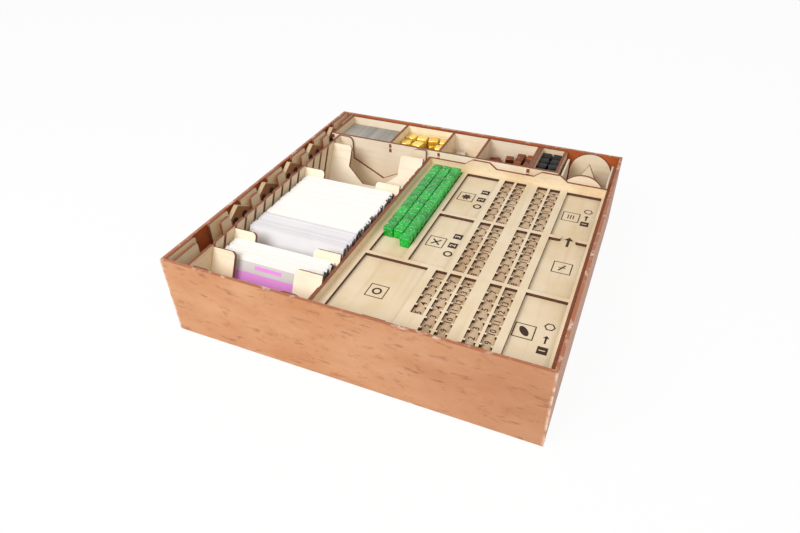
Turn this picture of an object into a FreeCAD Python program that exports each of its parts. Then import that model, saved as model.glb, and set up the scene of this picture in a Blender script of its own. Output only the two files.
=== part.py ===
import FreeCAD, Part
import Sketcher
import os
import re

# Board game box: the base half of a chipboard box, with a plywood organiser and its contents.
# Millimetres and degrees. Origin at the centre of the underside, X right, Y to the back, Z up.

SIZES = {
    "greyboard": 2.0,
    "paper": 0.25,
    "fit": 0.3,
    "ply": 2.7,
    "tray_height": 66.2,
    "lid_gap": 1.55,
    "lean": 27.0,
    "slot_pitch": 14.1,
    "slot_play": 0.4,
    "slot_floor": 16.3,
    "slot_margin": 2.3,
    "slot_last": 14.3,
    "right_wall_drop": 9.6,
    "card_wide": 88.0,
    "card_tall": 63.0,
    "card_side": 3.25,
    "front_clear": 1.9,
    "white_share": 0.644,
    "grey_share": 0.225,
    "front_horn": 18.0,
    "front_low": 20.0,
    "horn_round": 5.0,
    "window_half": 33.5,
    "window_side": 43.2,
    "window_foot": 26.2,
    "divider_sink": 2.4,
    "divider_horn": 20.5,
    "divider_notch": 23.0,
    "divider_dip": 37.5,
    "divider_flat": 18.0,
    "divider_round": 3.5,
    "rack_gap": 8.4,
    "tile_thick": 2.0,
    "tile_play": 0.2,
    "tile_flats": 33.0,
    "tile_pitch": 42.2,
    "cradle_seat": 27.4,
    "comb_height": 65.2,
    "comb_floor": 25.0,
    "comb_round": 2.0,
    "back_gap": 18.2,
    "front_gap": 30.2,
    "strip_depth": 48.6,
    "grey_bay": 62.05,
    "gold_bay": 49.3,
    "silver_bay": 35.3,
    "tenon_low": 56.2,
    "tenon_tall": 4.0,
    "tenon_step": 5.0,
    "shelf_height": 39.0,
    "grey_tile_thick": 2.0,
    "grey_tile_deep": 41.0,
    "grey_tile_tall": 56.0,
    "metal_cube": 10.0,
    "small_cube": 7.6,
    "cube": 8.7,
    "cube_gap": 0.3,
    "cube_side": 0.6,
    "cube_skew": 0.3,
    "green_start": 3.4,
    "cube_slack": 2.9,
    "cube_floor": 33.5,
    "corner_width": 47.9,
    "corner_left_tall": 55.0,
    "corner_right_tall": 63.0,
    "corner_right_deep": 32.4,
    "cheek": 1.6,
    "cheek_tall": 61.0,
    "cheek_deep": 37.0,
    "arch_tall": 65.0,
    "gable_from_front": 26.4,
    "gable_tall": 63.5,
    "gable_eave": 25.0,
    "fin_tall": 50.0,
    "lap_play": 0.2,
    "board_width": 173.7,
    "board_rise": 11.95,
    "board_foot": 0.4,
    "tab_base": 31.5,
    "tab_top": 17.0,
    "tab_rise": 5.5,
    "tab_play": 0.2,
    "tab_offset": 33.5,
    "row_margin": 5.55,
    "row_gap": 4.0,
    "col_margin": 6.8,
    "coin_margin": 5.9,
    "coin_gap": 6.5,
    "icon_wide": 31.5,
    "icon_gap": 5.0,
    "track_gap": 5.4,
    "track_space": 10.5,
    "side_gap": 6.2,
    "side_margin": 2.5,
    "door_wide": 12.0,
    "door_round": 1.8,
    "cell_wide": 9.2,
    "cell_gap": 2.3,
    "cell_neck": 6.0,
    "cell_tooth": 1.6,
}

# Sizes that follow from the ones above. The box is as large as its contents and their clearances.
DERIVED = {
    "base_z": "greyboard + paper",
    "wall": "greyboard + 2 * paper",
    "box_height": "base_z + tray_height + lid_gap",
    "lean_sin": "sin(lean * 1deg)",
    "lean_cos": "cos(lean * 1deg)",
    "lean_tan": "tan(lean * 1deg)",
    "slot_width": "ply + slot_play",
    "slot_depth": "(tray_height - slot_floor) / lean_cos",
    "divider_tall": "slot_depth - divider_sink",
    "slot_first": "ply + slot_margin + slot_depth * lean_sin + slot_width / 2 * lean_cos",
    "front_depth": "slot_first + 14 * slot_pitch + slot_last",
    "card_bay": "card_wide + 2 * card_side",
    "card_width": "card_bay + 2 * ply",
    "tile_room": "2 * tile_thick + 2 * tile_play",
    "tile_radius": "tile_flats / sqrt(3)",
    "rack_width": "2 * ply + tile_room",
    "inner_width": "4 * fit + rack_width + rack_gap + card_width + board_width",
    "inner_depth": "3 * fit + front_depth + strip_depth",
    "rack_depth": "inner_depth - 2 * fit",
    "rack_x": "fit - inner_width / 2",
    "card_x": "rack_x + rack_width + rack_gap + fit",
    "resource_x": "rack_x + rack_width + fit",
    "board_x": "card_x + card_width + fit",
    "right_x": "inner_width / 2 - fit",
    "tray_y": "fit - inner_depth / 2",
    "strip_y": "tray_y + front_depth + fit",
    "deck_z": "base_z + ply",
    "deck_y": "tray_y + slot_first - (tray_height - ply) * lean_tan",
    "deck_room": "8 * slot_pitch * lean_cos - ply - 3 * fit",
    "front_deck_y": "max(tray_y + ply + front_clear; deck_y + (ply / 2 + fit) / lean_cos)",
    "front_deck_back": "deck_y + 2 * slot_pitch - (ply / 2 + fit) / lean_cos",
    "front_deck_thick": "(front_deck_back - front_deck_y) * lean_cos",
    "white_deck_back": "deck_y + 10 * slot_pitch - (ply / 2 + fit) / lean_cos",
    "white_deck_thick": "white_share * deck_room",
    "grey_deck_back": "white_deck_back - (white_deck_thick + fit) / lean_cos",
    "grey_deck_thick": "grey_share * deck_room",
    "corner_x": "right_x - corner_width",
    "cube_box_width": "2 * cube + cube_slack + 2 * ply",
    "cube_box_x": "corner_x - fit - cube_box_width",
    "resource_width": "cube_box_x - fit - resource_x",
    "bronze_bay": "resource_width - 5 * ply - grey_bay - gold_bay - silver_bay",
    "gold_x": "2 * ply + grey_bay",
    "silver_x": "gold_x + gold_bay + ply",
    "bronze_x": "silver_x + silver_bay + ply",
    "arch_radius": "corner_width / 2 - ply - cheek - fit",
    "corner_mid": "corner_x + corner_width / 2",
    "land_width": "board_width - 2 * ply",
    "land_depth": "front_depth - 2 * ply",
    "row_length": "(land_depth - 2 * row_margin - 2 * row_gap) / 3",
    "row_step": "row_length + row_gap",
    "cell_step": "row_length / 7",
    "column_step": "cell_wide + cell_gap",
    "cube_step": "cube + cube_gap + cube_skew",
    "green_wide": "2 * cube_step + cube + 2 * cube_side",
    "icon_x": "col_margin + green_wide + icon_gap",
    "track_x": "icon_x + icon_wide + track_gap",
    "second_x": "track_x + 2 * cell_wide + cell_gap + track_space",
    "side_x": "second_x + 2 * cell_wide + cell_gap + side_gap",
    "side_end": "land_width - side_margin",
    "side_mid": "(side_x + side_end) / 2",
    "coin_end": "track_x - column_step - coin_gap",
    "board_5_z": "base_z + 4 * board_rise",
}

SLOTS = 15
BOARDS = 5
TILE_PLACES = 6
TRACK_CELLS = 7
SHORT_TRACK_CELLS = 5
WORD = re.compile(r"[a-z_][a-z0-9_]*")

doc = FreeCAD.newDocument("game_box")
sheet = doc.addObject("Spreadsheet::Sheet", "sizes")
for row, (name, number) in enumerate(SIZES.items(), 1):
    sheet.set("A%d" % row, name)
    sheet.set("B%d" % row, str(number))
    sheet.setAlias("B%d" % row, name)
doc.recompute()
nodes = []


def formula(text):
    """Point every size named in the text at its cell of the sheet."""

    def swap(found):
        name = found.group()
        if name in SIZES:
            return "sizes." + name
        if name in DERIVED:
            return "(" + formula(DERIVED[name]) + ")"
        return name

    return WORD.sub(swap, text)


def value(text):
    return float(sheet.evalExpression(formula(text)))


def put(item, at, leaning=False):
    """Place an item at three formulas; a leaning item tips its top to the back."""
    if leaning:
        item.Placement = FreeCAD.Placement(FreeCAD.Vector(), FreeCAD.Rotation(FreeCAD.Vector(-1, 0, 0), 1))
        item.setExpression("Placement.Rotation.Angle", formula("lean"))
    for axis, text in zip("xyz", at):
        item.setExpression("Placement.Base." + axis, formula(text))


def node(item, label):
    """Name an item as a piece of the assembly."""
    item.Label = label
    nodes.append(item)
    return item


def block(name, size, at, leaning=False):
    box = doc.addObject("Part::Box", name)
    for side, text in zip(("Length", "Width", "Height"), size):
        box.setExpression(side, formula(text))
    put(box, at, leaning)
    return box


def turned_cube(name, edge, centre, foot, angle):
    """A cube that stands on a level and is turned about its upright axis."""
    box = block(name, (edge, edge, edge), ("0", "0", foot))
    box.Placement = FreeCAD.Placement(FreeCAD.Vector(), FreeCAD.Rotation(FreeCAD.Vector(0, 0, 1), angle))
    turn = "%s / 2 * (cos(%g * 1deg) %s sin(%g * 1deg))"
    corner_x = "%s - %s" % (centre[0], turn % (edge, angle, "-", angle))
    corner_y = "%s - %s" % (centre[1], turn % (edge, angle, "+", angle))
    put(box, (corner_x, corner_y, foot))
    return box


def group(label, items):
    bunch = doc.addObject("Part::Compound", label + "_group")
    bunch.Links = items
    return node(bunch, label)


def draw(body, name, plane, loops):
    """Draw closed outlines whose corners are held by formulas."""
    sketch = body.newObject("Sketcher::SketchObject", name)
    origin = {feature.Role: feature for feature in body.Origin.OriginFeatures}
    sketch.AttachmentSupport = (origin[plane], "")
    sketch.MapMode = "FlatFace"
    for loop in loops:
        first = sketch.GeometryCount
        spots = [FreeCAD.Vector(value(across), value(up), 0) for across, up in loop]
        count = len(loop)
        for index in range(count):
            line = Part.LineSegment(spots[index], spots[(index + 1) % count])
            sketch.addGeometry(line, False)
        for index in range(count):
            following = first + (index + 1) % count
            sketch.addConstraint(Sketcher.Constraint("Coincident", first + index, 2, following, 1))
        for index, corner in enumerate(loop):
            for kind, text in zip(("DistanceX", "DistanceY"), corner):
                rule = Sketcher.Constraint(kind, -1, 1, first + index, 1, value(text))
                number = sketch.addConstraint(rule)
                sketch.setExpression("Constraints[%d]" % number, formula(text))
    return sketch


def panel(name, plane, outline, thick, at, leaning=False):
    """A flat sheet cut to an outline."""
    body = doc.addObject("PartDesign::Body", name)
    sketch = draw(body, name + "_outline", plane, [outline])
    pad = body.newObject("PartDesign::Pad", name + "_pad")
    pad.Profile = sketch
    pad.setExpression("Length", formula(thick))
    pad.Reversed = plane == "XZ_Plane"
    put(body, at, leaning)
    doc.recompute()
    return body


def cut(body, name, plane, loops, count=1, step="0", axis="H_Axis"):
    """Cut outlines through a sheet, and repeat the cut along an axis of the drawing."""
    before = body.Shape.Volume
    sketch = draw(body, name + "_outline", plane, loops)
    pocket = body.newObject("PartDesign::Pocket", name)
    pocket.Profile = sketch
    pocket.Type = "ThroughAll"
    pocket.SideType = "Symmetric"
    doc.recompute()
    if count > 1:
        pattern = body.newObject("PartDesign::LinearPattern", name + "_row")
        pattern.Originals = [pocket]
        pattern.Direction = (sketch, [axis])
        pattern.setExpression("Length", formula("%d * (%s)" % (count - 1, step)))
        pattern.Occurrences = count
        body.Tip = pattern
        doc.recompute()
    if body.Shape.Volume > before - 1:
        raise RuntimeError(name + " cuts nothing")


def soften(body, name, plane, corners, radius):
    """Round the edges that pass through a sheet at the given corners."""
    base = body.Tip
    axes = {"XY_Plane": (0, 1), "XZ_Plane": (0, 2), "YZ_Plane": (1, 2)}[plane]
    wanted = [(value(across), value(up)) for across, up in corners]
    edges = []
    for number, edge in enumerate(base.Shape.Edges, 1):
        spots = {tuple(round(vertex.Point[axis], 4) for axis in axes) for vertex in edge.Vertexes}
        if len(spots) != 1:
            continue
        spot = spots.pop()
        if any(abs(spot[0] - across) + abs(spot[1] - up) < 0.01 for across, up in wanted):
            edges.append("Edge%d" % number)
    if len(edges) != len(corners):
        raise RuntimeError("%s found %d edges" % (name, len(edges)))
    fillet = body.newObject("PartDesign::Fillet", name)
    fillet.Base = (base, edges)
    fillet.setExpression("Radius", formula(radius))
    doc.recompute()


def rectangle(x_from, y_from, x_to, y_to):
    return [(x_from, y_from), (x_to, y_from), (x_to, y_to), (x_from, y_to)]


def frame_loops(inset):
    """A rectangle round the origin, a distance outside the inner walls of the box."""
    half_x = "(inner_width / 2 + %s)" % inset
    half_y = "(inner_depth / 2 + %s)" % inset
    return rectangle("-" + half_x, "-" + half_y, half_x, half_y)


# Box: greyboard tray, printed paper round its walls and over the rim, paper sheet on the floor
box_board = doc.addObject("PartDesign::Body", "box_board")
board_outline = draw(box_board, "box_board_outline", "XY_Plane", [frame_loops("paper + greyboard")])
board_pad = box_board.newObject("PartDesign::Pad", "box_board_pad")
board_pad.Profile = board_outline
board_pad.setExpression("Length", formula("box_height - paper"))
doc.recompute()
board_room = draw(box_board, "box_board_room", "XY_Plane", [frame_loops("paper")])
board_room.setExpression("AttachmentOffset.Base.z", formula("greyboard"))
board_pocket = box_board.newObject("PartDesign::Pocket", "box_board_pocket")
board_pocket.Profile = board_room
board_pocket.Type = "ThroughAll"
board_pocket.Reversed = True
node(box_board, "box_board")

box_wrap = doc.addObject("PartDesign::Body", "box_wrap")
wrap_outline = draw(box_wrap, "box_wrap_outline", "XY_Plane", [frame_loops("wall"), frame_loops("0")])
wrap_pad = box_wrap.newObject("PartDesign::Pad", "box_wrap_pad")
wrap_pad.Profile = wrap_outline
wrap_pad.setExpression("Length", formula("box_height"))
doc.recompute()
groove_loops = [frame_loops("paper + greyboard"), frame_loops("paper")]
wrap_groove = draw(box_wrap, "box_wrap_groove", "XY_Plane", groove_loops)
wrap_pocket = box_wrap.newObject("PartDesign::Pocket", "box_wrap_pocket")
wrap_pocket.Profile = wrap_groove
wrap_pocket.setExpression("Length", formula("box_height - paper"))
wrap_pocket.Reversed = True
doc.recompute()
wrap_foot = draw(box_wrap, "box_wrap_foot", "XY_Plane", [frame_loops("paper + greyboard")])
wrap_foot_pocket = box_wrap.newObject("PartDesign::Pocket", "box_wrap_foot_pocket")
wrap_foot_pocket.Profile = wrap_foot
wrap_foot_pocket.setExpression("Length", formula("base_z"))
wrap_foot_pocket.Reversed = True
node(box_wrap, "box_wrap")

liner_size = ("inner_width + 2 * paper", "inner_depth + 2 * paper", "paper")
liner_at = ("-inner_width / 2 - paper", "-inner_depth / 2 - paper", "greyboard")
node(block("liner", liner_size, liner_at), "floor_liner")

# Card tray: two slotted side walls, a low front wall, a back wall with a window, a floor
floor_size = ("card_bay", "front_depth - 2 * ply", "ply")
node(block("card_floor", floor_size, ("card_x + ply", "tray_y + ply", "base_z")), "card_tray_floor")

slot_corners = []
for along, across in (("-slot_depth", -1), ("-slot_depth", 1), ("ply", 1), ("ply", -1)):
    slot_y = "slot_first + %s * lean_sin + %d * slot_width / 2 * lean_cos" % (along, across)
    slot_z = "tray_height + %s * lean_cos - %d * slot_width / 2 * lean_sin" % (along, across)
    slot_corners.append((slot_y, slot_z))
right_wall = ("right", "card_x + card_width - ply", "tray_height - right_wall_drop")
for side, wall_x, wall_top in (("left", "card_x", "tray_height"), right_wall):
    label = "card_tray_%s_wall" % side
    outline = rectangle("0", "0", "front_depth", wall_top)
    slotted = panel(label, "YZ_Plane", outline, "ply", (wall_x, "tray_y", "base_z"))
    cut(slotted, label + "_slots", "YZ_Plane", [slot_corners], SLOTS, "slot_pitch")
    node(slotted, label)

horn_in = ("front_horn", "card_bay - front_horn")
front_outline = [("0", "0"), ("card_bay", "0"), ("card_bay", "tray_height"), (horn_in[1], "tray_height")]
front_outline += [(horn_in[1], "front_low"), (horn_in[0], "front_low")]
front_outline += [(horn_in[0], "tray_height"), ("0", "tray_height")]
front_wall = panel("card_front", "XZ_Plane", front_outline, "ply", ("card_x + ply", "tray_y", "base_z"))
soften(front_wall, "card_front_round", "XZ_Plane", front_outline[2:], "horn_round")
node(front_wall, "card_tray_front_wall")

window_left = "card_bay / 2 - window_half"
window_right = "card_bay / 2 + window_half"
back_outline = [("0", "0"), ("card_bay", "0"), ("card_bay", "tray_height"), (window_right, "tray_height")]
back_outline += [(window_right, "window_side"), ("card_bay / 2", "window_foot")]
back_outline += [(window_left, "window_side"), (window_left, "tray_height"), ("0", "tray_height")]
back_at = ("card_x + ply", "tray_y + front_depth - ply", "base_z")
back_wall = panel("card_back", "XZ_Plane", back_outline, "ply", back_at)
soften(back_wall, "card_back_round", "XZ_Plane", [back_outline[3], back_outline[7]], "horn_round")
node(back_wall, "card_tray_back_wall")

# Dividers: leaning plates that slide into one slot of each side wall and rest on the slot's end
horn = "ply + divider_horn"
dip_left = "card_width / 2 - divider_flat / 2"
dip_right = "card_width / 2 + divider_flat / 2"
divider_outline = [("0", "0"), ("card_width", "0"), ("card_width", "divider_tall")]
divider_outline += [("card_width - (%s)" % horn, "divider_tall")]
divider_outline += [("card_width - (%s)" % horn, "slot_depth - divider_notch")]
divider_outline += [(dip_right, "slot_depth - divider_dip"), (dip_left, "slot_depth - divider_dip")]
divider_outline += [(horn, "slot_depth - divider_notch"), (horn, "divider_tall"), ("0", "divider_tall")]
for number, place in enumerate((0, 2, 10, 14), 1):
    divider_y = "tray_y + slot_first + %d * slot_pitch - slot_depth * lean_sin - ply / 2 * lean_cos" % place
    divider_z = "base_z + slot_floor + ply / 2 * lean_sin"
    label = "card_divider_%d" % number
    divider = panel(label, "XZ_Plane", divider_outline, "ply", ("card_x", divider_y, divider_z), True)
    soften(divider, label + "_round", "XZ_Plane", [divider_outline[3], divider_outline[8]], "divider_round")
    node(divider, label)

# Decks: packets of cards that stand on the tray floor and lean with the dividers
for deck, packets in (("front_deck", 6), ("grey_deck", 7), ("white_deck", 20)):
    cards = []
    packet = "%s_thick / %d" % (deck, packets)
    for index in range(packets):
        packet_y = "%s_back - %d * %s / lean_cos - %s * lean_cos" % (deck, index, packet, packet)
        packet_at = ("card_x + ply + card_side", packet_y, "deck_z + %s * lean_sin" % packet)
        packet_size = ("card_wide", packet, "card_tall")
        cards.append(block("%s_packet_%d" % (deck, index), packet_size, packet_at, True))
    group(deck, cards)

# Tile rack: two combs with a notched cradle between them, on one base
rack_top = "base_z + ply"
node(block("rack_floor", ("rack_width", "rack_depth", "ply"), ("rack_x", "tray_y", "base_z")), "rack_base")


def comb(label, comb_x, gap):
    outline = rectangle("0", "0", "rack_depth", "comb_height")
    plate = panel(label, "YZ_Plane", outline, "ply", (comb_x, "tray_y", rack_top))
    gap_from = "rack_depth / 2 - %g * tile_pitch - %s / 2" % ((TILE_PLACES - 1) / 2, gap)
    opening = rectangle(gap_from, "comb_floor", gap_from + " + " + gap, "comb_height + ply")
    cut(plate, label + "_gaps", "YZ_Plane", [opening], TILE_PLACES, "tile_pitch")
    tips = []
    for place in range(TILE_PLACES):
        gap_side = "%s + %d * tile_pitch" % (gap_from, place)
        tips += [(gap_side, "comb_height"), ("%s + %s" % (gap_side, gap), "comb_height")]
    soften(plate, label + "_tips", "YZ_Plane", tips, "comb_round")
    node(plate, label)


comb("rack_back_comb", "rack_x", "back_gap")
cradle_top = "(cradle_seat + tile_flats / 2 * tan(30 * 1deg))"
cradle_outline = rectangle("0", "0", "rack_depth", cradle_top)
cradle_at = ("rack_x + ply", "tray_y", rack_top)
cradle = panel("rack_cradle", "YZ_Plane", cradle_outline, "tile_room", cradle_at)
notch_mid = "rack_depth / 2 - %g * tile_pitch" % ((TILE_PLACES - 1) / 2)
notch_reach = "(tile_flats / 2 + ply)"
notch_top = "cradle_seat + %s * tan(30 * 1deg)" % notch_reach
notch = [(notch_mid, "cradle_seat"), ("%s + %s" % (notch_mid, notch_reach), notch_top)]
notch += [("%s - %s" % (notch_mid, notch_reach), notch_top)]
cut(cradle, "rack_cradle_notches", "YZ_Plane", [notch], TILE_PLACES, "tile_pitch")
node(cradle, "rack_cradle")
comb("rack_front_comb", "rack_x + ply + tile_room", "front_gap")

for number in range(1, TILE_PLACES):
    stack = []
    for layer in range(2):
        tile = doc.addObject("Part::Prism", "tile_%d_%d" % (number, layer))
        tile.Polygon = 6
        tile.setExpression("Circumradius", formula("tile_radius"))
        tile.setExpression("Height", formula("tile_thick"))
        tile.Placement = FreeCAD.Placement(FreeCAD.Vector(), FreeCAD.Rotation(FreeCAD.Vector(0, 1, 0), 90))
        tile_y = "%g * tile_pitch" % (number - (TILE_PLACES - 1) / 2)
        tile_z = "deck_z + cradle_seat + tile_play + tile_radius"
        put(tile, ("rack_x + ply + tile_play + %d * tile_thick" % layer, tile_y, tile_z))
        stack.append(tile)
    group("tile_stack_%d" % number, stack)

# Resource tray: cross walls whose tenons pass through the front and back walls
resource_floor = ("resource_width", "strip_depth", "ply")
node(block("resource_floor", resource_floor, ("resource_x", "strip_y", "base_z")), "resource_tray_floor")
cross_places = ("0", "ply + grey_bay", "silver_x - ply", "bronze_x - ply", "resource_width - ply")
tenon_top = "tenon_low + tenon_tall"
upper_low = "tenon_low + tenon_step"
upper_top = "tenon_low + tenon_step + tenon_tall"
wall_tall = "tray_height - ply"
mortises = []
for place in cross_places:
    mortises.append(rectangle(place, "tenon_low - ply", place + " + ply", tenon_top + " - ply"))
    mortises.append(rectangle(place, upper_low + " - ply", place + " + ply", upper_top + " - ply"))
for side, wall_y in (("front", "strip_y"), ("back", "strip_y + strip_depth - ply")):
    label = "resource_tray_%s_wall" % side
    outline = rectangle("0", "0", "resource_width", wall_tall)
    long_wall = panel(label, "XZ_Plane", outline, "ply", ("resource_x", wall_y, "base_z + ply"))
    cut(long_wall, label + "_mortises", "XZ_Plane", mortises)
    node(long_wall, label)

inside = "strip_depth - ply"
cross_outline = [("ply", "0"), (inside, "0")]
for low, top in (("tenon_low - ply", tenon_top + " - ply"), (upper_low + " - ply", upper_top + " - ply")):
    cross_outline += [(inside, low), ("strip_depth", low), ("strip_depth", top), (inside, top)]
cross_outline += [(inside, wall_tall), ("ply", wall_tall)]
for low, top in ((upper_low + " - ply", upper_top + " - ply"), ("tenon_low - ply", tenon_top + " - ply")):
    cross_outline += [("ply", top), ("0", top), ("0", low), ("ply", low)]
cross_walls = []
for index, place in enumerate(cross_places):
    cross_at = ("resource_x + " + place, "strip_y", "base_z + ply")
    cross_walls.append(panel("cross_wall_%d" % index, "YZ_Plane", cross_outline, "ply", cross_at))
group("resource_tray_cross_walls", cross_walls)

shelves = []
for name in ("gold", "silver", "bronze"):
    shelf_size = (name + "_bay", "strip_depth - 2 * ply", "ply")
    shelf_at = ("resource_x + %s_x" % name, "strip_y + ply", "base_z + shelf_height - ply")
    shelves.append(block(name + "_shelf", shelf_size, shelf_at))
group("resource_tray_shelf", shelves)

# Contents of the resource tray: tiles on edge and three heaps of cubes
grey_step = "grey_tile_thick + cube_gap / 3"
grey_tiles = []
grey_count = int(value("(grey_bay - 2 * fit) / (%s)" % grey_step))
for index in range(grey_count):
    grey_x = "resource_x + ply + fit + %d * (%s)" % (index, grey_step)
    grey_at = (grey_x, "strip_y + (strip_depth - grey_tile_deep) / 2", "base_z + ply")
    grey_size = ("grey_tile_thick", "grey_tile_deep", "grey_tile_tall")
    grey_tiles.append(block("grey_tile_%d" % index, grey_size, grey_at))
group("grey_tiles", grey_tiles)


def heap(label, bay_x, bay, layers):
    """Layers of cubes, each on the one below: edge, columns, rows and turns of the cubes."""
    cubes = []
    foot = "base_z + shelf_height"
    for level, (edge, columns, rows, turns) in enumerate(layers):
        for index in range(columns * rows):
            angle = turns[index % len(turns)]
            if angle is None:
                continue
            column = index % columns
            line = index // columns
            centre_x = "resource_x + %s + %s * %g" % (bay_x, bay, (column + 0.5) / columns)
            centre_y = "strip_y + ply + (strip_depth - 2 * ply) * %g" % ((line + 0.5) / rows)
            name = "%s_%d_%d" % (label, level, index)
            cubes.append(turned_cube(name, edge, (centre_x, centre_y), foot, angle))
        foot = foot + " + " + edge
    group(label, cubes)


gold_turns = (14, -11, 8, -15, 12, -7, None, 10, -13, 5, 15)
gold_layers = [("metal_cube", 4, 3, (6, -9, 12, -4, 15)), ("metal_cube", 4, 3, gold_turns)]
heap("gold_cubes", "gold_x", "gold_bay", gold_layers)
heap("silver_cubes", "silver_x", "silver_bay", [("metal_cube", 2, 3, (None, -20, None, None, 8, None))])
bronze_turns = (None, None, None, 3, -5, None, None, 6, -4, 5)
bronze_layers = [("metal_cube", 3, 3, (5, -14, 20, -8)), ("small_cube", 5, 5, bronze_turns)]
heap("bronze_cubes", "bronze_x", "bronze_bay", bronze_layers)

# Cube box: four walls round a raised floor, three layers of black cubes
cube_inner = ("cube_box_width - 2 * ply", "strip_depth - 2 * ply", "ply")
cube_floor_at = ("cube_box_x + ply", "strip_y + ply", "base_z + cube_floor")
node(block("cube_floor_plate", cube_inner, cube_floor_at), "cube_box_floor")
cube_walls = []
for name, wall_x in (("left", "cube_box_x"), ("right", "cube_box_x + cube_box_width - ply")):
    wall_size = ("ply", "strip_depth", "tray_height")
    cube_walls.append(block("cube_wall_" + name, wall_size, (wall_x, "strip_y", "base_z")))
for name, wall_y in (("front", "strip_y"), ("back", "strip_y + strip_depth - ply")):
    wall_size = ("cube_box_width - 2 * ply", "ply", "tray_height")
    cube_walls.append(block("cube_wall_" + name, wall_size, ("cube_box_x + ply", wall_y, "base_z")))
group("cube_box_walls", cube_walls)
black_cubes = []
for layer in range(3):
    for line in range(4):
        for column in range(2):
            black_x = "cube_box_x + ply + (cube_box_width - 2 * ply) * %g" % ((column + 0.5) / 2)
            black_y = "strip_y + ply + (strip_depth - 2 * ply) * %g" % ((line + 0.5) / 4)
            black_z = "base_z + cube_floor + ply + %d * cube" % layer
            turn = (8, -9, 4, -6, 10)[(layer * 3 + line * 2 + column) % 5]
            name = "black_%d_%d_%d" % (layer, line, column)
            black_cubes.append(turned_cube(name, "cube", (black_x, black_y), black_z, turn))
group("black_cubes", black_cubes)

# Corner tray: floor, side walls with thin cheeks, arched ends, a gable plate lapped with a fin
corner_top = "base_z + ply"
plate_size = ("corner_width", "strip_depth", "ply")
node(block("corner_plate", plate_size, ("corner_x", "strip_y", "base_z")), "corner_floor")
left_size = ("ply", "strip_depth", "corner_left_tall")
left_side = block("corner_left", left_size, ("corner_x", "strip_y", corner_top))
right_size = ("ply", "corner_right_deep", "corner_right_tall")
right_side = block("corner_right", right_size, ("right_x - ply", "strip_y", corner_top))
group("corner_side_walls", [left_side, right_side])
cheeks = []
for name, cheek_x in (("left", "corner_x + ply"), ("right", "right_x - ply - cheek")):
    cheek_size = ("cheek", "cheek_deep", "cheek_tall")
    cheeks.append(block("cheek_" + name, cheek_size, (cheek_x, "strip_y", corner_top)))
group("corner_cheeks", cheeks)
arches = []
for name, arch_y in (("front", "strip_y"), ("back", "strip_y + strip_depth - ply")):
    foot_size = ("2 * arch_radius", "ply", "arch_tall - arch_radius")
    foot = block("arch_foot_" + name, foot_size, ("corner_mid - arch_radius", arch_y, corner_top))
    crown = doc.addObject("Part::Cylinder", "arch_crown_" + name)
    crown.setExpression("Radius", formula("arch_radius"))
    crown.setExpression("Height", formula("ply"))
    crown.Placement = FreeCAD.Placement(FreeCAD.Vector(), FreeCAD.Rotation(FreeCAD.Vector(-1, 0, 0), 90))
    put(crown, ("corner_mid", arch_y, corner_top + " + arch_tall - arch_radius"))
    arch = doc.addObject("Part::MultiFuse", "arch_" + name)
    arch.Shapes = [foot, crown]
    arch.Refine = True
    arches.append(arch)
group("corner_end_walls", arches)

lap_half = "(ply + 2 * lap_play) / 2"
gable_outline = [("-arch_radius", "0"), ("-%s" % lap_half, "0"), ("-%s" % lap_half, "fin_tall / 2")]
gable_outline += [(lap_half, "fin_tall / 2"), (lap_half, "0"), ("arch_radius", "0")]
gable_outline += [("arch_radius", "gable_eave"), ("0", "gable_tall"), ("-arch_radius", "gable_eave")]
gable_at = ("corner_mid", "strip_y + gable_from_front", corner_top)
node(panel("gable", "XZ_Plane", gable_outline, "ply", gable_at), "corner_gable")

lap_from = "gable_from_front - lap_play"
lap_to = "gable_from_front + ply + lap_play"
fin_end = "strip_depth - ply - fit"
fin_outline = [("ply + fit", "0"), (fin_end, "0"), (fin_end, "fin_tall * 0.6")]
fin_outline += [(lap_to + " + 4 * ply", "fin_tall"), (lap_to, "fin_tall"), (lap_to, "fin_tall / 2")]
fin_outline += [(lap_from, "fin_tall / 2"), (lap_from, "fin_tall"), (lap_from + " - 4 * ply", "fin_tall")]
fin_outline += [("ply + fit", "fin_tall * 0.6")]
fin_at = ("corner_mid - ply / 2", "strip_y", corner_top)
node(panel("fin", "YZ_Plane", fin_outline, "ply", fin_at), "corner_fin")

# Player boards: a base sheet and a sheet with cut-outs between four rims that stack on each other
rim_tabs = ("land_width / 2 - tab_offset", "land_width / 2 + tab_offset")


def rim_outline():
    """Outline of a front or back rim: notches in the lower edge, tabs on the upper edge."""
    corners = [("0", "0")]
    for middle in rim_tabs:
        for sign, half, level in ((-1, "tab_base", "0"), (-1, "tab_top", "tab_rise + tab_play"),
                                  (1, "tab_top", "tab_rise + tab_play"), (1, "tab_base", "0")):
            corners.append(("%s + %d * (%s / 2 + tab_play)" % (middle, sign, half), level))
    corners += [("land_width", "0"), ("land_width", "board_rise")]
    for middle in reversed(rim_tabs):
        for sign, half, level in ((1, "tab_base", "board_rise"), (1, "tab_top", "board_rise + tab_rise"),
                                  (-1, "tab_top", "board_rise + tab_rise"), (-1, "tab_base", "board_rise")):
            corners.append(("%s + %d * %s / 2" % (middle, sign, half), level))
    corners.append(("0", "board_rise"))
    return corners


def row_y(row):
    return "(row_margin + %d * row_step)" % row


row_ends = [(row_y(row), row_y(row) + " + row_length") for row in range(3)]
door_left = "side_mid - door_wide / 2"
door_right = "side_mid + door_wide / 2"
door_lips = [(side, row_ends[1][1]) for side in (door_left, door_right)]
door_lips += [(side, row_ends[2][0]) for side in (door_left, door_right)]


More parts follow.
